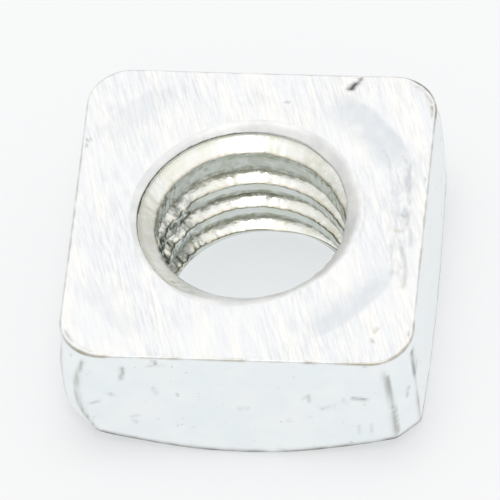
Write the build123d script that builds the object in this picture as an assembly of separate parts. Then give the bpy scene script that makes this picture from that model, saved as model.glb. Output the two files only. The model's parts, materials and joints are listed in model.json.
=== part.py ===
from build123d import *
from build123d.topology import SkipClean
import os
from math import radians, sqrt, tan

# A pressed steel square nut, lying as it is used from above: the flat bearing face up,
# the chamfered face down. The origin is on the thread's axis at the foot of the nut, +Z is up.
# All lengths are in millimetres.

# Sizes of the block
across_flats = 12.5          # from one flat side to the opposite one
height = 5.8                 # from the foot to the flat bearing face
facet_leg = 0.8              # how much each flat corner facet takes off the two sides that it joins
crease_radius = 0.3          # rounding where a facet meets a side
top_corner_radius = 1.55     # rounding of the bearing face's corners, which the facets turn into
facet_fade = 1.2             # depth below the bearing face at which the facets have their full width
edge_break = 0.12            # worn bevel round the edge of the bearing face
foot_diameter = 11.8         # where the chamfered underside meets the ground
chamfer_angle = 29.0         # rise of the conical chamfer, in degrees above the ground

# Sizes of the thread
major_diameter = 7.94        # at the bottom of the thread groove
thread_depth = 0.62          # from the bottom of the groove to the worn crests, along the radius
pitch = 1.411                # 18 threads to the inch
flank_angle = 60.0           # between the two flanks of one groove, in degrees
root_share = 0.125           # flat at the groove's bottom, as a share of the pitch
thread_start = -75.0         # where the groove crosses the foot's level, in degrees about +Z
climb_depth = 1.6            # depth below the bearing face at which the groove starts to climb faster
climb_turn = 120.0           # part of a turn over which it does so, in degrees
climb_extra = 0.42           # how much higher it then lies, which makes the topmost crest the thickest

# Sizes of the two countersinks
top_countersink = 7.7        # diameter on the bearing face
top_cone_angle = 90.0        # included angle, in degrees
top_cone_shift = 0.2         # how far this countersink lies off the thread's axis, towards +Y
foot_countersink = 7.3       # diameter on the underside
foot_cone_angle = 120.0      # included angle, in degrees

# Allowances that only keep the cutting tools clear of the surfaces that they cut through
overrun = 1.0
groove_overlap = 0.1

# The radius at the bottom of the groove, and that of the crests, which the bore is cut to
root_radius = major_diameter / 2
crest_radius = root_radius - thread_depth


def round_the_axis(corner_edges):
    """A face from the outline's edges along one side and round one corner, repeated four times."""
    return make_face([Rot(0, 0, 90 * n) * edge for n in range(4) for edge in corner_edges])


def faceted_section():
    """The section of the block below: a square with a flat facet across each corner."""
    half = across_flats / 2
    reach = crease_radius * tan(radians(22.5))
    inset = reach / sqrt(2)
    side_end = Vector(half, half - facet_leg - reach)
    facet_start = Vector(half - inset, half - facet_leg + inset)
    facet_end = Vector(facet_start.Y, facet_start.X)
    next_side = Vector(side_end.Y, side_end.X)
    return round_the_axis([
        Line((half, -side_end.Y), side_end),
        TangentArc(side_end, facet_start, tangent=(0, 1)),
        Line(facet_start, facet_end),
        TangentArc(facet_end, next_side, tangent=(-1, 1)),
    ])


def rounded_section(width, radius):
    """A square with round corners, each one in three arcs, which meet a facet and its two creases."""
    centre = width / 2 - radius
    third = 90 / 3
    side = Line((width / 2, -centre), (width / 2, centre))
    arcs = [Pos(centre, centre) * CenterArc((0, 0), radius, third * n, third) for n in range(3)]
    return round_the_axis([side, *arcs])


def block():
    """The bar stock: faceted corners that turn into the bearing face's round ones, and a worn top edge."""
    faceted = faceted_section()
    rounded = rounded_section(across_flats, top_corner_radius)
    worn = rounded_section(across_flats - 2 * edge_break, top_corner_radius - edge_break)
    levels = [
        faceted,
        Pos(0, 0, height - facet_fade) * faceted,
        Pos(0, 0, height - edge_break) * rounded,
        Pos(0, 0, height) * worn,
    ]
    return loft(levels, ruled=True)


def chamfer_envelope():
    """A turned solid whose conical underside gives each side face its bowed lower edge."""
    reach = across_flats / sqrt(2) + overrun
    foot_radius = foot_diameter / 2
    rise = (reach - foot_radius) * tan(radians(chamfer_angle))
    outline = Polyline(
        (0, 0),
        (foot_radius, 0),
        (reach, rise),
        (reach, height + rise),
        (0, height + rise),
        close=True,
    )
    section = Plane.XZ * make_face(outline)
    return revolve(section, Axis.Z)


def bore():
    """The plain bore at the thread's crests."""
    return Pos(0, 0, -overrun) * extrude(Circle(crest_radius), amount=height + 2 * overrun)


def countersink(mouth_diameter, included_angle):
    """A cone that opens upwards to the mouth's diameter at the level of the origin."""
    half_angle = radians(included_angle / 2)
    tip_depth = mouth_diameter / 2 / tan(half_angle)
    mouth_radius = (tip_depth + overrun) * tan(half_angle)
    outline = Polyline((0, -tip_depth), (mouth_radius, overrun), (0, overrun), close=True)
    section = Plane.XZ * make_face(outline)
    return revolve(section, Axis.Z)


def groove_section():
    """The groove's profile in the XZ plane, with its middle at the level of the origin."""
    inner_radius = crest_radius - groove_overlap
    half_root = pitch * root_share / 2
    half_mouth = half_root + (root_radius - inner_radius) * tan(radians(flank_angle / 2))
    outline = Polyline(
        (root_radius, -half_root),
        (root_radius, half_root),
        (inner_radius, half_mouth),
        (inner_radius, -half_mouth),
        close=True,
    )
    return Plane.XZ * make_face(outline)


def groove_run(level, angle, rise, turn):
    """A right-handed stretch of the groove, from a level and an angle up by a rise over a turn."""
    path = Helix(pitch=rise * 360 / turn, height=rise, radius=root_radius)
    run = sweep(groove_section(), path=path, is_frenet=True)
    return Pos(0, 0, level) * Rot(0, 0, angle) * run


def groove():
    """The whole groove, past both faces: at an even pitch, then faster for a while, then even again."""
    even_rise = height - climb_depth + pitch
    even_turn = 360 * even_rise / pitch
    fast_rise = climb_extra + pitch * climb_turn / 360
    last_rise = climb_depth - fast_rise + pitch
    last_turn = 360 * last_rise / pitch
    fast_level = even_rise - pitch
    fast_angle = thread_start + even_turn
    even = groove_run(-pitch, thread_start, even_rise, even_turn)
    fast = groove_run(fast_level, fast_angle, fast_rise, climb_turn)
    last = groove_run(fast_level + fast_rise, fast_angle + climb_turn, last_rise, last_turn)
    return even + fast + last


def in_halves(nut):
    """The same nut with its faces parted along the XZ plane, so that each crest face is half a turn."""
    halves = split(nut, Plane.XZ, keep=Keep.BOTH).solids()
    with SkipClean():
        return halves[0] + halves[1]


def square_nut():
    """The whole nut: the tapped and countersunk block."""
    blank = block() & chamfer_envelope()
    top_cone = Pos(0, top_cone_shift, height) * countersink(top_countersink, top_cone_angle)
    foot_cone = Rot(180, 0, 0) * countersink(foot_countersink, foot_cone_angle)
    return in_halves(blank - groove() - bore() - top_cone - foot_cone)


def write_step(shape, name):
    """Write one named piece to the folder of parts."""
    shape.label = name
    export_step(shape, f"parts/{name}.step")


os.makedirs("parts", exist_ok=True)
write_step(square_nut(), "square_nut")
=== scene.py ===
import json
from collections import namedtuple
from itertools import pairwise

import bpy
import numpy as np
from mathutils import Matrix, Vector, noise


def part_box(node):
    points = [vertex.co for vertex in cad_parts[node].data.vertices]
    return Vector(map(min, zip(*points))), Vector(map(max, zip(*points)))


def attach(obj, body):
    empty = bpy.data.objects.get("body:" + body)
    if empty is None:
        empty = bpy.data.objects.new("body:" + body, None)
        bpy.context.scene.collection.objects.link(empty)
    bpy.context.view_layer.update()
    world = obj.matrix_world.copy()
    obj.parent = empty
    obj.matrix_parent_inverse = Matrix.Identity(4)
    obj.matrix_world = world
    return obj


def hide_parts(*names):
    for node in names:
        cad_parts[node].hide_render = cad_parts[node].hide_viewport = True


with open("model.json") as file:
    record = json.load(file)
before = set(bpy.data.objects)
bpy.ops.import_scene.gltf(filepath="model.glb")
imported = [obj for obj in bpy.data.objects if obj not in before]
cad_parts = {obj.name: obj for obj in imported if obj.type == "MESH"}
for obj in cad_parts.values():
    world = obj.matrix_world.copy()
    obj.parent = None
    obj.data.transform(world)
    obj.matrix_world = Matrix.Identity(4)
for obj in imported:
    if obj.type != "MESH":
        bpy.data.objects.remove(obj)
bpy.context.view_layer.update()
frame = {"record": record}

# A pressed, zinc-plated square nut, flat bearing face up. Lengths are in millimetres where nothing
# else is said, angles in degrees about +Z from +X, and the finished meshes are in metres.
MM = 0.001


def millimetres(corner):
    """A point of the frame, in millimetres."""
    return [value / MM for value in corner]


# Sizes taken from the frame
(LOW_X, _, _), (HIGH_X, _, HEIGHT) = map(millimetres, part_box("square_nut"))
HALF = (HIGH_X - LOW_X) / 2
MOUNTS = {mount["name"]: mount for mount in frame["record"]["mounts"]}
CREST_RADIUS = MOUNTS["thread"]["dims"]["r_mm"]

# Sizes of the block
CORNER_RADIUS = 1.55
EDGE_BREAK = 0.12            # worn rounding round the bearing face, about as wide as it is high
EDGE_RAGGED = 0.35           # share of its width by which its inner limit wanders
FOOT_RADIUS = 5.9            # where the conical underside starts
CHAMFER_SLOPE = np.tan(np.radians(29.0))
FACET_FADE = 1.2             # depth below the bearing face at which the corner facets are whole
CREASE_SOFTNESS = 0.05       # how widely the creases beside the facets are rounded
CREASE_NARROWNESS = 0.6      # and how narrowly their painted shade lies

# A corner facet takes its leg off both sides at one level, and more above and below it, up to so much
Facet = namedtuple("Facet", "corner leg level more_above more_below")
FACETS = (
    Facet(45, 0.74, 3.2, 0.30, 0.40),
    Facet(135, 0.76, 3.0, 0.30, 0.50),
    Facet(225, 0.52, 3.4, 0.50, 1.40),
    Facet(315, 0.77, 2.4, 0.28, 0.10),
)

# Sizes of the thread
PITCH = 1.411
THREAD_DEPTH = 0.62
ROOT_RADIUS = CREST_RADIUS + THREAD_DEPTH
HALF_ROOT = 0.0625 * PITCH   # half of the flat at the groove's bottom
FLANK_SLOPE = np.tan(np.radians(30.0))      # axial run of a flank for each unit of depth
THREAD_START = -75.0
CLIMB_DEPTH = 1.6            # depth below the bearing face at which the groove starts to climb faster
CLIMB_TURN = 120.0           # part of a turn over which it does so
CLIMB_EXTRA = 0.42           # how much higher it then lies, which makes the topmost crest the thickest
THREAD_LOW = 0.2             # the helical rows of the mesh lie between these two levels
THREAD_HIGH = 5.56
ROUGH_RISE = 0.15            # height above the lower one at which its roughness is full
CUT_BLEND = 0.16             # depth of the groove at which its look has replaced the countersink's

# Painted shade in the thread: on the topmost crest along its two edges, and on the others below their
# middle. Places are shares of the pitch from the middle of the groove below.
Band = namedtuple("Band", "middle width dark")
TOPMOST_BANDS = (Band(0.36, 0.075, 1.0), Band(0.635, 0.045, 0.8))
TOPMOST_DARK = 0.42          # what the topmost crest has between them
TOPMOST_MIDDLE = (0.15, 0.20)        # from its middle, full up to the first and ended at the second
CREST_FADE = (0.39, 0.48)    # where the painted shade on the lower part of the other crests fades out
DULL_DARK = 0.38             # what they have on their dull side
NEAR_SHADE_CUT = 0.7           # how much less painted shade the near side has
TOPMOST_TORN = 0.3           # how much of the tearing the topmost crest has, below its upper part
TOPMOST_WHOLE = 0.6          # where that part, which isn't torn, starts

# Sizes of the countersinks: the upper one is at 45 degrees and a little off the thread's axis
TOP_MOUTH = 3.85             # its radius on the bearing face
TOP_SHIFT = 0.2
LIP_ROUNDING = 0.05          # how widely the upper one's mouth is rounded
LIP_WEAR = 0.11              # and how much more where it is rolled over
RIM_REACH = 2.5              # how many times that width away the bearing face's mesh ends
LEAST_AROUND = 1.0           # keeps the cone's formula clear of its tip
FOOT_MOUTH = 3.65            # the lower one's radius on the underside
FOOT_SLOPE = np.tan(np.radians(30.0))       # depth for each unit of radius
FOOT_START = 0.1             # how far outside the groove's bottom the foot's own rings start

# What counts as nothing in a comparison of levels
TINY = 1e-6

# Fineness of the mesh
OUTLINE_STEPS = 20000        # along the outline, to space the columns evenly
EDGE_STEPS = 8               # to find the sides' lower edge
COLUMNS = 432
SIDE_ROWS = 42
EDGE_ROWS = 6
TOP_ROWS = 42
LIP_ROWS = 14
LIP_CROWDING = 1.5           # above 1, these rows crowd towards the mouth
FOOT_ROWS = 5
UNDERSIDE_ROWS = 8
# Where the rows lie across one pitch, as shares of it from the middle of the groove
CREST_START = 0.316          # where the flank ends and the crest starts
HALF_GROOVE = (0.045, 0.0625, 0.10, 0.15, 0.20, 0.25, 0.285, CREST_START, 0.335, 0.37, 0.42, 0.46)
GROOVE_ROWS = (0.0, *HALF_GROOVE, 0.5, *(1 - share for share in reversed(HALF_GROOVE)))

# How far the surfaces are uneven, broad waves and fine ripples
SIDE_WAVES = 0.010
SIDE_RIPPLES = 0.006
FACE_WAVES = 0.006
STRIP_WAVES = 0.03
CONE_WAVES = 0.008
THREAD_RIPPLES = 0.012
CREST_RIPPLES = 0.02         # these are added on the thread's crests
CREST_WAVES = 0.025
TORN_RIPPLES = 0.035         # and these where it is torn
TORN_WAVES = 0.09
EDGE_SETTLE = 0.1            # width inside the worn edge over which the bearing face's own start

# What the finish needs to know at each point of the mesh, from 0 to 1
ZONES = ("top", "side", "cone", "thread", "crest", "shade", "torn", "burnish", "grime", "tan")

# A sector round the axis is full up to some degrees from its middle, and has faded out at some more
Sector = namedtuple("Sector", "middle full faded")
ROLLED = Sector(212, 35, 90)         # where the countersink's mouth is rolled over by wear
TORN = Sector(172, 20, 50)           # where the thread is torn
NEAR_SIDE = Sector(270, 50, 95)      # where it has less painted shade
DULL_SIDE = Sector(28, 22, 55)       # and where its crests are dull

# How dark and how brown a darkening is at its strongest
Darkening = namedtuple("Darkening", "dark tan")
# Painted shade along the creases and along the sides' lower edge, and a darker, browner line along the
# worn edge
CREASE_SHADE = Darkening(0.5, 0.4)
LOW_EDGE_SHADE = Darkening(0.8, 0.5)
EDGE_LINE = Darkening(0.3, 0.7)
CREASE_SHADE_START = 0.1           # depth below the bearing face down to which the creases have no painted shade
CREASE_SHADE_FULL = 1.0            # and from which their painted shade is full
LOW_EDGE_SHADE_WIDTH = 0.12       # of the painted shade along the sides' lower edge


def smoothstep(x, low=0.0, high=1.0):
    """Rises from 0 at low to 1 at high, with soft ends."""
    t = np.clip((x - low) / (high - low), 0, 1)
    return t * t * (3 - 2 * t)


def lumps(points, size, seed):
    """Smooth noise of about -1 to 1 at each point, with features of about a size, and its own by seed."""
    shift = Vector((seed, seed * 1.7, seed * 2.3))
    fading, finer, octaves = 1.0, 2.0, 3
    return np.array([noise.fractal(Vector(p) / size + shift, fading, finer, octaves) for p in points])


def patchy(rough, middle, swing, least=0.0, most=1.0):
    """An uneven strength about its middle, from noise of about -1 to 1."""
    return np.clip(middle + swing * rough, least, most)


def polar(radius, angle, z):
    """Points in space from a radius and a height for each angle."""
    radius, angle, z = np.broadcast_arrays(radius, angle, z)
    return np.stack((radius * np.cos(angle), radius * np.sin(angle), z), axis=-1)


def turn_between(angle, middle):
    """Degrees between each angle, given in radians, and one in degrees."""
    return np.abs(np.mod(np.degrees(angle) - middle + 180, 360) - 180)


def within(sector, angle):
    """1 in a sector's full part and 0 outside it, for each angle in radians."""
    return 1 - smoothstep(turn_between(angle, sector.middle), sector.full, sector.faded)


def octant(angle):
    """The angle folded into the first 45 degrees of the square."""
    folded = np.mod(angle, np.pi / 2)
    return np.minimum(folded, np.pi / 2 - folded)


def rounded_square(angle, half, corner):
    """Distance from the axis to a square with rounded corners."""
    t = octant(angle)
    centre = half - corner
    reach = centre * (np.cos(t) + np.sin(t))
    round_part = reach + np.sqrt(np.maximum(reach**2 - 2 * centre**2 + corner**2, 0))
    return np.where(half * np.tan(t) <= centre, half / np.cos(t), round_part)


def facet_leg(angle, z):
    """The leg of the facet at the nearest corner, for each angle and level."""
    leg = np.zeros_like(angle)
    for facet in FACETS:
        above = facet.more_above * (np.maximum(z - facet.level, 0) / (HEIGHT - facet.level)) ** 2
        below = facet.more_below * (np.maximum(facet.level - z, 0) / facet.level) ** 2
        leg = np.where(turn_between(angle, facet.corner) <= 45, facet.leg + above + below, leg)
    return leg


def faceted_square(angle, z):
    """Distance from the axis to a square with flat corner facets, and how near a crease is."""
    t = octant(angle)
    side = HALF / np.cos(t)
    facet = (2 * HALF - facet_leg(angle, z)) / (np.cos(t) + np.sin(t))
    gap = (side - facet) / CREASE_SOFTNESS
    radius = np.minimum(side, facet) - CREASE_SOFTNESS * np.exp(-np.abs(gap)) / 2
    return radius, np.exp(-((gap * CREASE_NARROWNESS) ** 2))


def outline(angle, z):
    """The nut's outline at each level, and how near a crease is."""
    rounded = rounded_square(angle, HALF, CORNER_RADIUS)
    faceted, crease = faceted_square(angle, z)
    share = smoothstep(HEIGHT - z, EDGE_BREAK, FACET_FADE)
    return rounded + (faceted - rounded) * share, crease


def column_angles():
    """Angles of the mesh's columns, evenly spaced along the outline."""
    fine = np.linspace(0, 2 * np.pi, OUTLINE_STEPS + 1)
    around = polar(rounded_square(fine, HALF, CORNER_RADIUS), fine, 0)
    steps = np.linalg.norm(np.diff(around, axis=0), axis=1)
    length = np.concatenate(([0], np.cumsum(steps)))
    return np.interp(np.arange(COLUMNS) / COLUMNS * length[-1], length, fine)


ANGLES = column_angles()

# A mark is a line of points on a face, with its half width, depth, darkness and brownness. Its edges
# are ragged by a share of its width.
MARK_RAGGED = 0.6
Mark = namedtuple("Mark", "line width depth dark tan", defaults=(0.0,))

# Nicks of the bearing face, in X and Y
NOTCH = (
    Mark(((3.10, 5.66), (3.20, 5.88), (3.28, 5.95)), 0.075, 0.16, 1.0),
    Mark(((3.30, 5.98), (3.46, 6.14)), 0.04, 0.10, 0.6, 0.6),
    Mark(((3.18, 6.22), (3.28, 6.08)), 0.05, 0.02, 0.2, 0.8),
)
TOP_NICKS = (
    Mark(((-6.25, 3.04), (-5.92, 3.09)), 0.04, 0.04, 0.45),
    Mark(((-6.25, 2.70), (-6.06, 2.84)), 0.05, 0.05, 0.55),
    Mark(((6.08, 4.95), (6.22, 4.72)), 0.07, 0.05, 0.8, 0.4),
    Mark(((6.16, 3.02), (6.24, 2.86)), 0.05, 0.04, 0.5),
    Mark(((6.08, 1.84), (6.15, 1.56)), 0.05, 0.03, 0.3),
    Mark(((0.86, 4.99), (0.92, 4.97)), 0.05, 0.03, 0.35),
    Mark(((4.86, -4.80), (4.92, -4.70)), 0.06, 0.01, 0.1, 0.9),
    Mark(((4.78, -5.12), (4.86, -5.30)), 0.04, 0.03, 0.40),
    Mark(((6.12, -4.86), (6.22, -5.18)), 0.08, 0.06, 0.6, 0.5),
    Mark(((-5.25, -6.02), (-4.88, -6.22)), 0.08, 0.04, 0.7, 0.5),
    Mark(((5.35, 5.95), (5.80, 5.62), (6.10, 5.05), (6.14, 4.50)), 0.08, 0.02, 0.30, 0.7),
    Mark(((-6.02, -5.20), (-5.62, -5.85), (-5.00, -6.12)), 0.07, 0.02, 0.22, 0.7),
    Mark(((3.65, 1.86), (3.89, 1.22), (4.05, 0.58), (4.08, -0.16), (3.99, -0.72)), 0.03, 0.01, 0.12),
)
# The pressed and torn strip along the right-hand side of the bearing face, in X and Y. Its dents are
# real, and their darkness is painted reflection of darker surroundings in their tilted sides.
STRIP_MIDDLE = 5.35
STRIP_WIDTH = 0.4
STRIP_REACH = 3.2            # to both sides of the X axis
STRIP_FADE = 1.0             # over which it ends there
SCRAPE_SQUEEZE = 0.22        # draws the noise of its scrapes out along the Y axis
STRIP = (
    Mark(((5.21, 2.74), (5.41, 2.44), (5.50, 1.79), (5.51, 1.19), (5.59, 0.72)), 0.05, 0.04, 0.16),
    Mark(((4.51, 2.98), (4.73, 2.55), (4.86, 1.86), (4.99, 1.17), (4.98, 0.39), (5.03, -0.35)),
         0.04, 0.02, 0.10),
    Mark(((5.17, -0.44), (5.34, -0.46), (5.47, -0.44)), 0.05, 0.03, 0.03, 0.5),
    Mark(((5.72, -0.40), (5.78, -1.09)), 0.05, 0.03, 0.14),
    Mark(((5.47, -1.18), (5.62, -1.65), (5.70, -2.16), (5.68, -2.85)), 0.06, 0.04, 0.22),
    Mark(((5.11, -1.07), (5.16, -1.67), (5.25, -2.26)), 0.04, 0.02, 0.12),
    Mark(((5.47, 0.42), (5.56, -0.08)), 0.13, 0.03, 0.12),
    Mark(((5.10, 1.87), (5.20, 1.52)), 0.05, 0.02, 0.13),
    Mark(((5.35, 1.88), (5.45, 1.53)), 0.05, 0.02, 0.18),
    Mark(((4.94, 1.26), (5.00, 1.04)), 0.05, 0.02, 0.17),
    Mark(((5.42, -1.83), (5.55, -2.08)), 0.05, 0.02, 0.14),
)
# Where the line along the worn edge of the bearing face is darkest and brownest, in X and Y
EDGE_LINES = (
    Mark(((-5.9, -5.5), (-5.5, -6.0), (-4.6, -6.2)), 0.22, 0, 0.42, 1.0),
    Mark(((2.6, -6.2), (3.9, -6.2)), 0.12, 0, 0.35, 0.7),
    Mark(((4.0, -6.2), (4.9, -6.2), (5.7, -5.8), (6.1, -5.2), (6.2, -4.5)), 0.20, 0, 0.30, 0.9),
    Mark(((-2.5, -6.2), (0.5, -6.2)), 0.10, 0, 0.25, 0.6),
    Mark(((4.80, 6.2), (5.34, 6.05), (5.85, 5.65), (6.15, 5.1), (6.2, 4.6)), 0.22, 0, 0.65, 1.0),
    Mark(((6.05, -4.9), (6.2, -5.2)), 0.12, 0, 0.5, 0.6),
)
# Pits of the front side and of the facets beside it, in X and Z
FRONT_Y = -4.9               # these marks lie only in front of this
FRONT_PITS = (
    Mark(((-3.95, 5.12), (-3.96, 4.80), (-4.03, 4.50)), 0.08, 0.03, 0.45),
    Mark(((-2.79, 5.66), (-2.75, 5.40)), 0.06, 0.02, 0.45, 0.3),
    Mark(((-2.95, 5.34), (-2.42, 5.37)), 0.05, 0.02, 0.28),
    Mark(((-5.36, 5.30), (-5.42, 4.85)), 0.06, 0.02, 0.45),
    Mark(((-5.66, 4.30), (-5.70, 3.40), (-5.64, 2.60)), 0.035, 0.01, 0.10),
    Mark(((-5.64, 2.60), (-5.29, 1.50), (-4.91, 0.80), (-4.70, 0.50)), 0.04, 0.01, 0.45),
    Mark(((-5.26, 2.89), (-4.97, 3.03)), 0.06, 0.02, 0.30),
    Mark(((-3.88, 2.16), (-3.66, 2.26)), 0.06, 0.02, 0.20),
    Mark(((-3.80, 1.95), (-3.71, 1.80)), 0.07, 0.02, 0.22),
    Mark(((-4.53, 3.54), (-4.43, 3.49)), 0.07, 0.02, 0.35),
    Mark(((-2.94, 4.00), (-2.90, 3.63)), 0.05, 0.02, 0.30),
    Mark(((0.00, 2.87), (0.28, 2.88)), 0.07, 0.02, 0.28),
    Mark(((2.31, 3.61), (2.46, 3.68)), 0.06, 0.02, 0.22),
    Mark(((2.54, 3.80), (2.53, 3.40)), 0.05, 0.02, 0.30),
    Mark(((2.93, 3.03), (3.15, 3.10)), 0.06, 0.02, 0.38),
    Mark(((3.35, 3.30), (3.36, 3.00)), 0.06, 0.02, 0.12),
    Mark(((4.10, 3.70), (4.48, 3.66)), 0.09, 0.03, 0.50),
    Mark(((4.17, 2.07), (4.19, 1.53)), 0.05, 0.02, 0.16),
    Mark(((4.57, 2.15), (4.63, 1.65)), 0.05, 0.02, 0.18),
    Mark(((3.72, 3.62), (3.80, 3.38)), 0.06, 0.02, 0.18),
    Mark(((5.40, 4.95), (5.46, 4.00)), 0.035, 0.02, 0.50),
    Mark(((5.49, 3.30), (5.51, 2.30)), 0.045, 0.03, 0.65),
    Mark(((5.53, 2.10), (5.55, 1.60)), 0.04, 0.02, 0.40),
    Mark(((6.17, 5.25), (6.20, 4.50), (6.22, 4.05)), 0.04, 0.03, 0.60),
    Mark(((5.98, 3.72), (5.93, 3.30)), 0.04, 0.02, 0.35),
)

# Where something has rubbed dull bluish arcs round the hole: each has its middle, how far it spreads to
# both sides, two radii and its strength. Its edges are soft between two distances past those radii.
INNER_EDGE = (-0.7, 0.4)
OUTER_EDGE = (-0.12, 0.08)
RUB_RAGGED = 0.12
OUTER_RAGGED = 0.4           # how much of that the outer edge has
Rub = namedtuple("Rub", "middle spread inner outer strength")
RUBS = (
    Rub(44, 23, 5.15, 6.15, 1.0),
    Rub(-43, 24, 5.15, 5.90, 0.9),
    Rub(137, 15, 5.9, 6.7, 0.5),
    Rub(-136, 15, 6.0, 6.6, 0.45),
)


def near_line(line, u, v, width):
    """How near each point is to a line, from 0 to 1."""
    away = np.full(u.shape, np.inf)
    for (u0, v0), (u1, v1) in pairwise(line):
        du, dv = u1 - u0, v1 - v0
        along = np.clip(((u - u0) * du + (v - v0) * dv) / (du * du + dv * dv), 0, 1)
        away = np.minimum(away, np.hypot(u - u0 - along * du, v - v0 - along * dv))
    return np.exp(-((away / width) ** 2))


def struck(marks, points, u, v):
    """Depth, darkness and brownness that the marks leave at each point, with ragged edges."""
    wobble = 1 + MARK_RAGGED * lumps(points, size=0.12, seed=3.0)
    depth, dark, tan = np.zeros((3, len(points)))
    for mark in marks:
        near = near_line(mark.line, u, v, mark.width * wobble)
        depth = np.maximum(depth, mark.depth * near)
        dark = np.maximum(dark, mark.dark * near)
        tan = np.maximum(tan, mark.tan * near)
    return depth, dark, tan


class Skin:
    """The nut's mesh as it grows: points, what the finish needs to know there, and faces."""

    def __init__(self):
        self.count = 0
        self.points = []
        self.zones = []
        self.faces = []

    def add(self, points, **zones):
        """Adds points and returns their numbers."""
        self.points.append(points)
        values = [np.broadcast_to(zones.get(name, 0.0), len(points)) for name in ZONES]
        self.zones.append(np.stack(values, axis=-1))
        self.count += len(points)
        return np.arange(self.count - len(points), self.count)

    def strip(self, first, second, past_first, past_second):
        """Faces between two rows. The last two numbers close the rows past their last points."""
        first, second = np.append(first, past_first), np.append(second, past_second)
        for column in range(len(first) - 1):
            corners = (first[column], first[column + 1], second[column + 1], second[column])
            corners = list(dict.fromkeys(map(int, corners)))
            if len(corners) > 2:
                self.faces.append(corners)

    def close(self, rings):
        """Faces between closed rings, one after the other."""
        for first, second in pairwise(rings):
            self.strip(first, second, first[0], second[0])


def lower_edge():
    """Where the sides meet the conical underside, found in steps that come closer and closer."""
    level = np.ones(COLUMNS)
    for _ in range(EDGE_STEPS):
        level = (outline(ANGLES, level)[0] - FOOT_RADIUS) * CHAMFER_SLOPE
    return level


def shaded_creases(points, crease):
    """How much painted shade lies along the creases beside the facets."""
    below = smoothstep(HEIGHT - points[:, 2], CREASE_SHADE_START, CREASE_SHADE_FULL)
    return crease * below * patchy(lumps(points, size=0.9, seed=9.0), 0.55, 0.35)


def shaded_below(points, low):
    """How much painted shade lies along the sides' lower edge."""
    near = np.exp(-((points[:, 2] - low) / LOW_EDGE_SHADE_WIDTH) ** 2)
    return near * patchy(lumps(points, size=0.6, seed=11.0), 0.7, 0.6)


def sides(skin):
    """The four sides and the corner facets, from the lower edge up to the worn upper edge."""
    low = lower_edge()
    high = HEIGHT - EDGE_BREAK
    rings = []
    for row in range(SIDE_ROWS + 1):
        z = low + (high - low) * row / SIDE_ROWS
        radius, crease = outline(ANGLES, z)
        points = polar(radius, ANGLES, z)
        front = points[:, 1] < FRONT_Y
        depth, dark, tan = struck(FRONT_PITS, points, points[:, 0], z)
        waves = SIDE_WAVES * (1 + lumps(points, size=0.9, seed=5.0))
        ripples = SIDE_RIPPLES * np.abs(lumps(points, size=0.25, seed=6.0))
        depth = depth * front + np.maximum(waves + ripples, 0)
        # Painted shade along the creases beside the facets and along the lower edge, beside the real pits
        # in front
        worn, low_shade = shaded_creases(points, crease), shaded_below(points, low)
        dark = np.maximum.reduce([dark * front, CREASE_SHADE.dark * worn, LOW_EDGE_SHADE.dark * low_shade])
        tan = np.maximum.reduce([tan * front, CREASE_SHADE.tan * worn, LOW_EDGE_SHADE.tan * low_shade])
        rings.append(skin.add(polar(radius - depth, ANGLES, z), side=1.0, grime=dark, tan=tan))
    return rings


def edge_wander():
    """Noise along the worn edge of the bearing face, one value for each column."""
    return lumps(polar(HALF, ANGLES, 0), size=0.45, seed=7.0)


def worn_edge(skin):
    """The small worn rounding between the sides and the bearing face."""
    outer = outline(ANGLES, HEIGHT - EDGE_BREAK)[0] - SIDE_WAVES
    inner = inner_outline()
    ragged = edge_wander()
    # How strongly a darker, browner line runs along the middle of the rounding
    line_strength = patchy(ragged, 0.25, 0.5, least=0.03)
    broken = patchy(ragged, 0.65, 0.8, least=0.15)
    rings = []
    for row in range(1, EDGE_ROWS + 1):
        share = row / EDGE_ROWS
        turn = share * np.pi / 2
        radius = inner + (outer - inner) * np.cos(turn)
        z = HEIGHT - EDGE_BREAK + EDGE_BREAK * np.sin(turn)
        points = polar(radius, ANGLES, z)
        _, dark, tan = struck(EDGE_LINES, points, points[:, 0], points[:, 1])
        middle, wide = np.sin(2 * turn) ** 2, np.sin(2 * turn)
        dark = np.maximum(middle * EDGE_LINE.dark * line_strength, wide * broken * dark)
        tan = np.maximum(middle * EDGE_LINE.tan * line_strength, wide * broken * tan)
        rings.append(skin.add(points, side=1 - share, top=share, grime=dark, tan=tan))
    return rings


def inner_outline():
    """The inner limit of the worn edge, which wanders a little."""
    width = EDGE_BREAK * (1 + EDGE_RAGGED * edge_wander())
    return rounded_square(ANGLES, HALF, CORNER_RADIUS) - width


def rubbed(points):
    """How strongly the arcs round the hole are rubbed."""
    radius = np.hypot(points[:, 0], points[:, 1])
    angle = np.arctan2(points[:, 1], points[:, 0])
    ragged = RUB_RAGGED * lumps(points, size=0.5, seed=6.0)
    strength = np.zeros(len(points))
    for rub in RUBS:
        ring = smoothstep(radius + ragged, *(rub.inner + edge for edge in INNER_EDGE))
        past = smoothstep(radius + ragged * OUTER_RAGGED, *(rub.outer + edge for edge in OUTER_EDGE))
        fade = within(Sector(rub.middle, rub.spread / 2, rub.spread), angle)
        strength = np.maximum(strength, rub.strength * ring * (1 - past) * fade)
    return strength * patchy(lumps(points, size=0.5, seed=8.0), 0.8, 0.35)


def torn_strip(x, y):
    """How fully each point lies in the torn strip."""
    along = smoothstep(STRIP_REACH - np.abs(y), 0, STRIP_FADE)
    return np.exp(-(((x - STRIP_MIDDLE) / STRIP_WIDTH) ** 2)) * along


def scraped_reflection(points, strip):
    """Uneven grey streaks along the torn strip, painted reflection of darker surroundings."""
    squeezed = points * [1, SCRAPE_SQUEEZE, 1]
    return strip * patchy(lumps(squeezed, size=0.16, seed=13.0), 0.25, 1.1, most=0.9)


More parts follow.
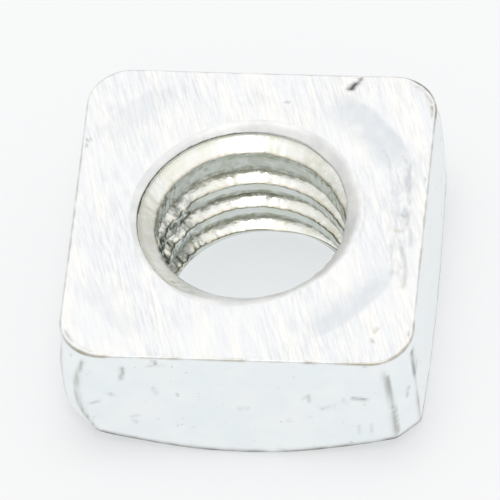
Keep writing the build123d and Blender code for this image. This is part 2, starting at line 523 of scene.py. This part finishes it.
def off_centre(angle, around):
    """Distance from the thread's axis to a circle about the upper countersink's own axis."""
    across = TOP_SHIFT * np.cos(angle)
    return TOP_SHIFT * np.sin(angle) + np.sqrt(around**2 - across**2)


def lip_rounding(angle):
    """How widely the countersink's mouth is rounded: most at the left."""
    return LIP_ROUNDING + LIP_WEAR * within(ROLLED, angle)


def lip_depth(angle, around):
    """Depth of the rounded mouth below the bearing face, at a radius about the countersink's axis."""
    rounding = lip_rounding(angle)
    return rounding * np.log1p(np.exp((TOP_MOUTH - around) / rounding))


def cone_radius(angle, depth):
    """The upper countersink's distance from the thread's axis at each depth."""
    rounding = lip_rounding(angle)
    around = TOP_MOUTH - rounding * np.log(np.expm1(depth / rounding))
    return off_centre(angle, np.maximum(around, LEAST_AROUND))


RIM = TOP_MOUTH + RIM_REACH * lip_rounding(ANGLES)


def bearing_face(skin):
    """The flat bearing face, from its worn edge in to the countersink's rounded mouth."""
    inner = inner_outline()
    rim = off_centre(ANGLES, RIM)
    rings = []
    for row in range(1, TOP_ROWS + 1):
        radius = inner + (rim - inner) * row / TOP_ROWS
        points = polar(radius, ANGLES, HEIGHT)
        x, y = points[:, 0], points[:, 1]
        depth, dark, tan = struck(NOTCH + TOP_NICKS + STRIP, points, x, y)
        strip = torn_strip(x, y)
        rough = strip * STRIP_WAVES * (1 + lumps(points, size=0.3, seed=4.0))
        waves = FACE_WAVES * (1 + lumps(points, size=1.4, seed=2.0))
        settle = smoothstep(inner - radius, 0, EDGE_SETTLE)
        depth = depth + (rough + waves) * settle + lip_depth(ANGLES, np.hypot(x, y - TOP_SHIFT))
        # Rubbed arcs, and painted reflection in the torn strip's streaks
        rings.append(skin.add(points - [0, 0, 1] * depth[:, None], top=1.0, grime=dark, tan=tan,
                              burnish=np.maximum(rubbed(points), scraped_reflection(points, strip))))
    return rings


def climb(turned):
    """How much higher the groove lies than at an even pitch, after a turn in degrees about +Z."""
    start = THREAD_START + 360 * (HEIGHT - CLIMB_DEPTH) / PITCH
    return CLIMB_EXTRA * smoothstep(turned, start, start + CLIMB_TURN)


def groove_offset(angle, z):
    """Axial distance from the middle of the nearest stretch of the groove."""
    offset = np.full(angle.shape, np.inf)
    for turn in range(-1, int(HEIGHT / PITCH) + 2):
        turned = np.degrees(angle) + 360 * turn
        middle = PITCH * (turned - THREAD_START) / 360 + climb(turned)
        offset = np.minimum(offset, np.abs(z - middle))
    return offset


def thread_radius(offset):
    """Radius of the thread's surface at an axial distance from the middle of the groove."""
    return np.clip(ROOT_RADIUS - (offset - HALF_ROOT) / FLANK_SLOPE, CREST_RADIUS, ROOT_RADIUS)


def crest_share(radius):
    """0 at the bottom of the groove and 1 at the thread's crests."""
    return np.clip((ROOT_RADIUS - radius) / THREAD_DEPTH, 0, 1)


def relief(points, crest, tear):
    """How far the rough flanks and crests stand out of true, in radius."""
    fine = lumps(points, size=0.20, seed=21.0)
    broad = lumps(points, size=0.55, seed=22.0)
    plain = THREAD_RIPPLES * fine + crest * (CREST_RIPPLES * fine + CREST_WAVES * broad)
    return plain + tear * (TORN_RIPPLES * fine + crest * TORN_WAVES * broad)


def add_hole_points(skin, angle, z, offset, shade, tear, loose):
    """Points of the hole's surface: the countersink, cut by the groove. Where loose is 0 they lie true."""
    plain = cone_radius(angle, HEIGHT - z)
    grooved = thread_radius(offset)
    cut = smoothstep(grooved - plain, 0.0, CUT_BLEND)
    crest = crest_share(grooved)
    radius = np.maximum(plain, grooved)
    points = polar(radius, angle, z)
    waves = CONE_WAVES * lumps(points, size=0.4, seed=12.0)
    radius = radius + loose * (cut * relief(points, crest, tear) + (1 - cut) * waves)
    return skin.add(polar(radius, angle, z), cone=1 - cut, thread=cut, crest=crest, shade=shade,
                    torn=tear * cut)


def lip(skin):
    """Level rings from the countersink's mouth down to the highest helical row."""
    rim_depth = lip_depth(ANGLES, RIM)
    rings = []
    for row in range(1, LIP_ROWS + 1):
        share = (row / LIP_ROWS) ** LIP_CROWDING
        z = HEIGHT - rim_depth - (HEIGHT - rim_depth - THREAD_HIGH) * share
        rings.append(add_hole_points(skin, ANGLES, z, groove_offset(ANGLES, z), 0.0, 0.0, share))
    return rings


def crest_shade(share, topmost):
    """How much painted shade the thread has across one pitch, on a crest that is the topmost one by some
    share.
    """
    below = 1 - smoothstep(share, *CREST_FADE)
    edges = sum(band.dark * np.exp(-((share - band.middle) / band.width) ** 2) for band in TOPMOST_BANDS)
    between = TOPMOST_DARK * (1 - smoothstep(abs(share - 0.5), *TOPMOST_MIDDLE))
    return below + (np.clip(np.maximum(edges, between), 0, 1) - below) * topmost


def thread(skin, top_ring, bottom_ring):
    """The thread between two rings, in rows that follow its helix."""
    count = len(GROOVE_ROWS)
    near_half, dull, torn = within(NEAR_SIDE, ANGLES), within(DULL_SIDE, ANGLES), within(TORN, ANGLES)
    turns_below = 2
    turns = int(np.ceil(THREAD_HIGH / PITCH)) + turns_below + 1
    rows = []
    for index in range(turns * count):
        turn, share = index // count - turns_below, GROOVE_ROWS[index % count]
        turned = np.degrees(ANGLES) + 360 * turn
        below, above = climb(turned), climb(turned + 360)
        across_crest = np.clip((share - CREST_START) / (1 - 2 * CREST_START), 0, 1)
        z = PITCH * ((turned - THREAD_START) / 360 + share)
        z = z + below + (above - below) * across_crest
        # Where a row lies past one of the two rings, it takes that ring's points
        numbers = np.where(z > THREAD_HIGH / 2, top_ring, bottom_ring)
        free = (z > THREAD_LOW + TINY) & (z < THREAD_HIGH - TINY)
        if free.any():
            offset = np.full_like(z, PITCH * min(share, 1 - share))
            lower, upper = 1 - below / CLIMB_EXTRA, 1 - above / CLIMB_EXTRA
            shade = np.maximum(crest_shade(share, 1 - upper), DULL_DARK * dull)
            shade = shade * lower * (1 - NEAR_SHADE_CUT * near_half)
            whole = upper if share > TOPMOST_WHOLE else TOPMOST_TORN + (1 - TOPMOST_TORN) * upper
            tear = torn * lower * whole
            loose = smoothstep(z, THREAD_LOW, THREAD_LOW + ROUGH_RISE)
            found = (values[free] for values in (ANGLES, z, offset, shade, tear, loose))
            numbers[free] = add_hole_points(skin, *found)
        rows.append(numbers)
    # Past its last point, each row goes on as the one that lies a turn higher
    for index in range(len(rows) - 1):
        past_above = rows[min(index + 1 + count, len(rows) - 1)][0]
        past_below = rows[min(index + count, len(rows) - 1)][0]
        skin.strip(rows[index + 1], rows[index], past_above, past_below)


def lower_end(skin):
    """The small lower countersink, the foot and the conical underside, from the hole outwards."""
    rings = []
    whole = (FOOT_MOUTH - CREST_RADIUS) * FOOT_SLOPE
    for z in (THREAD_LOW, whole, whole / 2, 0.0):
        flared = FOOT_MOUTH - z / FOOT_SLOPE
        radius = np.maximum(flared, thread_radius(groove_offset(ANGLES, z)))
        rings.append(skin.add(polar(radius, ANGLES, z), thread=1.0, crest=crest_share(radius)))
    widest = ROOT_RADIUS + FOOT_START
    for row in range(FOOT_ROWS):
        radius = widest + (FOOT_RADIUS - widest) * row / (FOOT_ROWS - 1)
        rings.append(skin.add(polar(radius, ANGLES, 0.0), side=1.0))
    edge = outline(ANGLES, lower_edge())[0]
    for row in range(1, UNDERSIDE_ROWS):
        radius = FOOT_RADIUS + (edge - FOOT_RADIUS) * row / UNDERSIDE_ROWS
        rings.append(skin.add(polar(radius, ANGLES, (radius - FOOT_RADIUS) * CHAMFER_SLOPE), side=1.0))
    return rings


def make_nut():
    """The whole nut as one closed, smooth-shaded mesh, with its zones as attributes."""
    skin = Skin()
    upper = sides(skin) + worn_edge(skin) + bearing_face(skin) + lip(skin)
    lower = lower_end(skin)
    skin.close(upper)
    thread(skin, upper[-1], lower[0])
    skin.close([*lower, upper[0]])
    mesh = bpy.data.meshes.new("square_nut_plated")
    mesh.from_pydata((np.concatenate(skin.points) * MM).tolist(), [], skin.faces)
    for name, values in zip(ZONES, np.concatenate(skin.zones).T):
        attribute = mesh.attributes.new(name, "FLOAT", "POINT")
        attribute.data.foreach_set("value", values.astype(np.float32))
    mesh.shade_smooth()
    mesh.validate()
    nut = bpy.data.objects.new("square_nut_plated", mesh)
    bpy.context.scene.collection.objects.link(nut)
    return nut


# Colours of the plate outside the thread
SIDE_BLUISH = (0.88, 0.93, 0.945, 1)
SIDE_PALE = (0.92, 0.95, 0.955, 1)
BRUSHED_COOL = (0.91, 0.925, 0.94, 1)
BRUSHED_WARM = (1.0, 0.985, 0.95, 1)
SCRATCHED = (0.76, 0.775, 0.80, 1)
RUBBED_AND_REFLECTION = (0.73, 0.765, 0.80, 1)
CONE_DULL = (0.80, 0.815, 0.81, 1)
CONE_BRIGHT = (0.97, 0.965, 0.95, 1)
BROWN = (0.50, 0.42, 0.22, 1)
BROWN_STRENGTH = 0.6
DIRT_AND_SHADE = (0.09, 0.09, 0.08, 1)
SPECK_DARK = 0.25

# Colours of the thread, from the bottom of the groove to the crests, darker at the bottom as painted
# shade, and of what lies over them
TAPPED = (
    (0.00, (0.72, 0.73, 0.66)),
    (0.35, (0.92, 0.92, 0.88)),
    (0.80, (0.90, 0.90, 0.86)),
    (0.94, (0.78, 0.73, 0.61)),
    (0.985, (0.79, 0.80, 0.77)),
    (1.00, (0.79, 0.82, 0.79)),
)
GREENISH = (0.86, 0.86, 0.72, 1)
# The painted shade on the crests, which also darkens them on their dull side
DARK_CREST = (0.30, 0.31, 0.22, 1)
DARK_TEAR = (0.30, 0.32, 0.29, 1)

# Gloss
CONE_METAL = 0.8             # the mottled cone is a little less metallic than the rest
PLATE_ROUGHNESS = 0.31
THREAD_ROUGHNESS = 0.22
CONE_ROUGHER = 0.30
DIRT_AND_SHADE_ROUGHER = 0.3

# Brushing, which runs a little off the Y axis, and grain. Scales of noise count features in a metre.
BRUSHING_LEAN = np.radians(-17.6)
STREAK_WIDTH = 0.10 * MM
STREAK_LENGTH = 1.1 * MM
BAND_WIDTH = 0.4 * MM
BAND_LENGTH = 3.0 * MM
SCRATCH_DEPTH = 0.03 * MM
SCRATCH_STRENGTH = 0.5
GRAIN_DEPTH = 0.04 * MM
GRAIN_STRENGTH = 0.25


def node(tree, kind, inputs=None, **settings):
    """A shader node with its settings and its inputs, each one a value or a socket to link."""
    made = tree.nodes.new("ShaderNode" + kind)
    for name, value in settings.items():
        setattr(made, name, value)
    for key, value in (inputs or {}).items():
        if isinstance(value, bpy.types.NodeSocket):
            tree.links.new(value, made.inputs[key])
        else:
            made.inputs[key].default_value = value
    return made


def maths(tree, operation, a, b=0.0):
    """The result of one operation, on two values or on the first alone."""
    return node(tree, "Math", {0: a, 1: b}, operation=operation).outputs[0]


def spread(tree, value, low, high, to_low=0.0, to_high=1.0):
    """The value carried from one range to another, and held at its ends."""
    inputs = {0: value, 1: low, 2: high, 3: to_low, 4: to_high}
    return node(tree, "MapRange", inputs).outputs[0]


def mixed(tree, share, a, b, blend="MIX"):
    """Colour a turning into colour b as the share goes from 0 to 1."""
    return node(tree, "Mix", {0: share, 6: a, 7: b}, data_type="RGBA", blend_type=blend).outputs[2]


def zone(tree, name):
    """One of the mesh's zones, from 0 to 1."""
    return node(tree, "Attribute", attribute_name=name).outputs["Fac"]


def cloud(tree, where, scale, detail=2.0, rough=0.5):
    """Noise of about 0 to 1."""
    inputs = {"Vector": where, "Scale": scale, "Detail": detail, "Roughness": rough}
    return node(tree, "TexNoise", inputs).outputs[0]


def ramp(tree, value, stops):
    """A colour for each value, from stops of a position and a colour."""
    made = node(tree, "ValToRGB", {"Fac": value})
    elements = made.color_ramp.elements
    for element, (position, colour) in zip(elements, (stops[0], stops[-1])):
        element.position = position
        element.color = (*colour, 1)
    for position, colour in stops[1:-1]:
        elements.new(position).color = (*colour, 1)
    return made.outputs[0]


def drawn_out(tree, place, width, length):
    """The place squeezed, so that noise there is drawn out along the brushing."""
    turned = node(tree, "Mapping", {"Vector": place, "Rotation": (0, 0, BRUSHING_LEAN)}).outputs[0]
    squeeze = (1 / width, 1 / length, 1 / width)
    return node(tree, "Mapping", {"Vector": turned, "Scale": squeeze}).outputs[0]


def plated_colour(tree, place, streaks):
    """The plate outside the thread: pale sides, a brushed bearing face with dull arcs and streaks of
    painted reflection in the torn strip, a mottled cone.
    """
    mottle = spread(tree, cloud(tree, place, scale=900.0, detail=3.0, rough=0.55), 0.35, 0.65)
    bands = cloud(tree, drawn_out(tree, place, BAND_WIDTH, BAND_LENGTH), scale=1.0)
    brushed = mixed(tree, spread(tree, bands, 0.35, 0.65), BRUSHED_COOL, BRUSHED_WARM)
    uneven = spread(tree, cloud(tree, place, scale=420.0), 0.35, 0.62, 0.35, 1.0)
    scratches = maths(tree, "MULTIPLY", uneven, spread(tree, streaks, 0.42, 0.70))
    brushed = mixed(tree, scratches, brushed, SCRATCHED)
    colour = mixed(tree, zone(tree, "top"), mixed(tree, mottle, SIDE_BLUISH, SIDE_PALE), brushed)
    colour = mixed(tree, zone(tree, "burnish"), colour, RUBBED_AND_REFLECTION)
    return mixed(tree, zone(tree, "cone"), colour, mixed(tree, mottle, CONE_DULL, CONE_BRIGHT))


def tapped_colour(tree, place):
    """The thread: tinted, greenish in places, with painted shade along its crests, and dark in patches
    where it is torn.
    """
    colour = ramp(tree, zone(tree, "crest"), TAPPED)
    green = spread(tree, cloud(tree, place, scale=1400.0), 0.45, 0.62, 0.0, 0.4)
    colour = mixed(tree, green, colour, GREENISH, "MULTIPLY")
    ragged = spread(tree, cloud(tree, place, scale=3500.0, rough=0.6), 0.30, 0.60, 0.35, 0.95)
    colour = mixed(tree, maths(tree, "MULTIPLY", zone(tree, "shade"), ragged), colour, DARK_CREST)
    patches = spread(tree, cloud(tree, place, scale=2200.0, detail=3.0, rough=0.6), 0.42, 0.58)
    return mixed(tree, maths(tree, "MULTIPLY", zone(tree, "torn"), patches), colour, DARK_TEAR)


def dirt_and_shade_share(tree, place):
    """Where the plate is darkened: marks, the worn edge's line, specks on the sides, and painted shade at
    the creases and lower edge.
    """
    specks = spread(tree, cloud(tree, place, scale=2600.0, rough=0.6), 0.66, 0.76)
    faint = maths(tree, "MULTIPLY", zone(tree, "side"), SPECK_DARK)
    return maths(tree, "MAXIMUM", zone(tree, "grime"), maths(tree, "MULTIPLY", specks, faint))


def plate_roughness(tree, dirt_and_shade):
    """Smoothest in the thread, and rougher in the cone and where dirt and painted shade darken it."""
    rough = spread(tree, zone(tree, "thread"), 0.0, 1.0, PLATE_ROUGHNESS, THREAD_ROUGHNESS)
    rough = maths(tree, "ADD", rough, maths(tree, "MULTIPLY", zone(tree, "cone"), CONE_ROUGHER))
    return maths(tree, "ADD", rough, maths(tree, "MULTIPLY", dirt_and_shade, DIRT_AND_SHADE_ROUGHER))


def plate_relief(tree, place, streaks):
    """Fine scratches on the bearing face, and grain everywhere."""
    strength = maths(tree, "MULTIPLY", zone(tree, "top"), SCRATCH_STRENGTH)
    scratched = {"Strength": strength, "Distance": SCRATCH_DEPTH, "Height": streaks}
    normal = node(tree, "Bump", scratched).outputs[0]
    grain = cloud(tree, place, scale=5000.0, rough=0.6)
    tumbled = {"Strength": GRAIN_STRENGTH, "Distance": GRAIN_DEPTH, "Height": grain, "Normal": normal}
    return node(tree, "Bump", tumbled).outputs[0]


def zinc_plated_steel():
    """Bright zinc plate: brushed on the bearing face, tumbled on the sides, tinted in the thread."""
    material = bpy.data.materials.new("zinc_plated_steel")
    material.use_nodes = True
    tree = material.node_tree
    tree.nodes.clear()
    place = node(tree, "TexCoord").outputs["Object"]
    fine_place = drawn_out(tree, place, STREAK_WIDTH, STREAK_LENGTH)
    streaks = cloud(tree, fine_place, scale=1.0, detail=3.0, rough=0.65)
    plated, tapped = plated_colour(tree, place, streaks), tapped_colour(tree, place)
    colour = mixed(tree, zone(tree, "thread"), plated, tapped)
    colour = mixed(tree, maths(tree, "MULTIPLY", zone(tree, "tan"), BROWN_STRENGTH), colour, BROWN)
    dirt_and_shade = dirt_and_shade_share(tree, place)
    surface = node(tree, "BsdfPrincipled", {
        "Base Color": mixed(tree, dirt_and_shade, colour, DIRT_AND_SHADE),
        "Metallic": spread(tree, zone(tree, "cone"), 0.0, 1.0, 1.0, CONE_METAL),
        "Roughness": plate_roughness(tree, dirt_and_shade),
        "Normal": plate_relief(tree, place, streaks),
    })
    node(tree, "OutputMaterial", {"Surface": surface.outputs[0]})
    return material


FLOOR_REACH = 3.0            # half the width of the floor, in metres
FLOOR_COLOUR = (0.97, 0.97, 0.975, 1)
GLOW_COLOUR = (0.93, 0.938, 0.943, 1)
# Inside the hole the floor is painted light: it glows in a bluish grey, brighter than the light through
# the hole makes it
HOLE_COLOUR = (0.866, 0.901, 0.919, 1)
FLOOR_GLOW = 0.75            # share of the floor's look that doesn't depend on the light
NEAR_GLOW = 0.25             # the same close to the nut, where its soft shadow lies
HOLE_GLOW = 1.0              # and inside the hole, at its near side, as painted light
FAR_SIDE_GLOW = 0.68         # and at its far side, where more of the real shadow shows
NEAR = 6.4                   # half width of the square within which the shadow is fullest
FAR = 7.9                    # and of the one past which it has faded


def pale_floor():
    """A plain pale floor, whose look to the camera and in reflections depends only partly on the light,
    and which glows as painted light under the hole.
    """
    material = bpy.data.materials.new("pale_floor")
    material.use_nodes = True
    tree = material.node_tree
    tree.nodes.clear()
    lit = node(tree, "BsdfDiffuse", {"Color": FLOOR_COLOUR})
    path = node(tree, "LightPath").outputs
    mirrored = maths(tree, "MAXIMUM", path["Is Glossy Ray"], path["Is Transmission Ray"])
    position = node(tree, "NewGeometry").outputs["Position"]
    apart = node(tree, "SeparateXYZ", {0: position}).outputs
    across = maths(tree, "MAXIMUM", maths(tree, "ABSOLUTE", apart[0]), maths(tree, "ABSOLUTE", apart[1]))
    # Painted light under the hole, a bluish glow that is less at the far side
    under = spread(tree, across, FOOT_MOUTH * MM, FOOT_RADIUS * MM, 1.0, 0.0)
    in_hole = spread(tree, apart[1], -CREST_RADIUS * MM, CREST_RADIUS * MM, HOLE_GLOW, FAR_SIDE_GLOW)
    in_hole = maths(tree, "MULTIPLY", under, in_hole)
    even = node(tree, "Emission", {"Color": mixed(tree, under, GLOW_COLOUR, HOLE_COLOUR), "Strength": 1.0})
    outside = spread(tree, across, NEAR * MM, FAR * MM, NEAR_GLOW, FLOOR_GLOW)
    glow = maths(tree, "MAXIMUM", in_hole, outside)
    seen = maths(tree, "MULTIPLY", path["Is Camera Ray"], glow)
    share = maths(tree, "MAXIMUM", seen, maths(tree, "MULTIPLY", mirrored, FLOOR_GLOW))
    both = node(tree, "MixShader", {0: share, 1: lit.outputs[0], 2: even.outputs[0]})
    node(tree, "OutputMaterial", {"Surface": both.outputs[0]})
    return material


def make_floor():
    """A large pale floor at the level of the foot."""
    mesh = bpy.data.meshes.new("floor")
    reach = FLOOR_REACH
    corners = [(-reach, -reach, 0), (reach, -reach, 0), (reach, reach, 0), (-reach, reach, 0)]
    mesh.from_pydata(corners, [], [(0, 1, 2, 3)])
    mesh.materials.append(pale_floor())
    floor = bpy.data.objects.new("floor", mesh)
    bpy.context.scene.collection.objects.link(floor)


# Brightness of the studio by the sine of the height, from the horizon up to straight overhead
SKY = (
    (0.0, 0.95),
    (0.10, 0.90),
    (0.28, 0.66),
    (0.46, 0.70),
    (0.64, 1.00),
    (0.76, 1.08),
    (0.86, 1.09),
    (1.0, 0.94),
)


def make_sky():
    """Soft studio light: a broad bright ceiling, dimmer walls and a pale horizon."""
    world = bpy.data.worlds.new("studio")
    bpy.context.scene.world = world
    world.use_nodes = True
    tree = world.node_tree
    tree.nodes.clear()
    direction = node(tree, "TexCoord").outputs["Generated"]
    height = node(tree, "SeparateXYZ", {0: direction}).outputs[2]
    grey = ramp(tree, height, [(level, (light,) * 3) for level, light in SKY])
    background = node(tree, "Background", {"Color": grey, "Strength": 1.0})
    node(tree, "OutputWorld", {"Surface": background.outputs[0]})


# The lamp: its direction from the nut, its distance and width in metres, and its power
LAMP_DIRECTION = (0.12, -0.41, 0.90)
LAMP_DISTANCE = 0.6
LAMP_SIZE = 0.10
LAMP_WATTS = 0.30


def make_lamp():
    """One soft lamp overhead, a little towards the camera."""
    light = bpy.data.lights.new("overhead", "AREA")
    light.shape = "DISK"
    light.size = LAMP_SIZE
    light.energy = LAMP_WATTS
    lamp = bpy.data.objects.new("overhead", light)
    towards = Vector(LAMP_DIRECTION).normalized()
    lamp.location = towards * LAMP_DISTANCE
    lamp.rotation_mode = "QUATERNION"
    lamp.rotation_quaternion = towards.to_track_quat("Z", "Y")
    bpy.context.scene.collection.objects.link(lamp)


# The camera as it was fitted to the edges of the bearing face, with its lens in Blender's millimetres
CAMERA_AZIMUTH = np.radians(11.81)
CAMERA_ELEVATION = np.radians(54.02)
CAMERA_ROLL = np.radians(-7.94)
CAMERA_DISTANCE = 375.0
CAMERA_LENS = 769.2
CAMERA_CLIP = 0.01           # nearest distance that it sees, in metres
AIM_RIGHT = 0.037            # where it aims, from the middle of the bearing face
AIM_DOWN = 1.229


def make_camera():
    """The camera at the photograph's angle, aimed a little below the middle of the bearing face."""
    sin_a, cos_a = np.sin(CAMERA_AZIMUTH), np.cos(CAMERA_AZIMUTH)
    sin_e, cos_e = np.sin(CAMERA_ELEVATION), np.cos(CAMERA_ELEVATION)
    back = Vector((sin_a * cos_e, -cos_a * cos_e, sin_e))
    level_right = Vector((cos_a, sin_a, 0))
    level_up = back.cross(level_right)
    right = level_right * np.cos(CAMERA_ROLL) + level_up * np.sin(CAMERA_ROLL)
    up = back.cross(right)
    target = Vector((0, 0, HEIGHT)) + right * AIM_RIGHT - up * AIM_DOWN
    data = bpy.data.cameras.new("camera")
    data.lens = CAMERA_LENS
    data.clip_start = CAMERA_CLIP
    camera = bpy.data.objects.new("camera", data)
    pose = Matrix((right, up, back)).transposed().to_4x4()
    pose.translation = (target + back * CAMERA_DISTANCE) * MM
    camera.matrix_world = pose
    bpy.context.scene.collection.objects.link(camera)
    bpy.context.scene.camera = camera


make_camera()
make_sky()
make_lamp()
make_floor()

nut = make_nut()
nut.data.materials.append(zinc_plated_steel())
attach(nut, "root")
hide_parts("square_nut")

bpy.context.scene.view_settings.view_transform = "Standard"
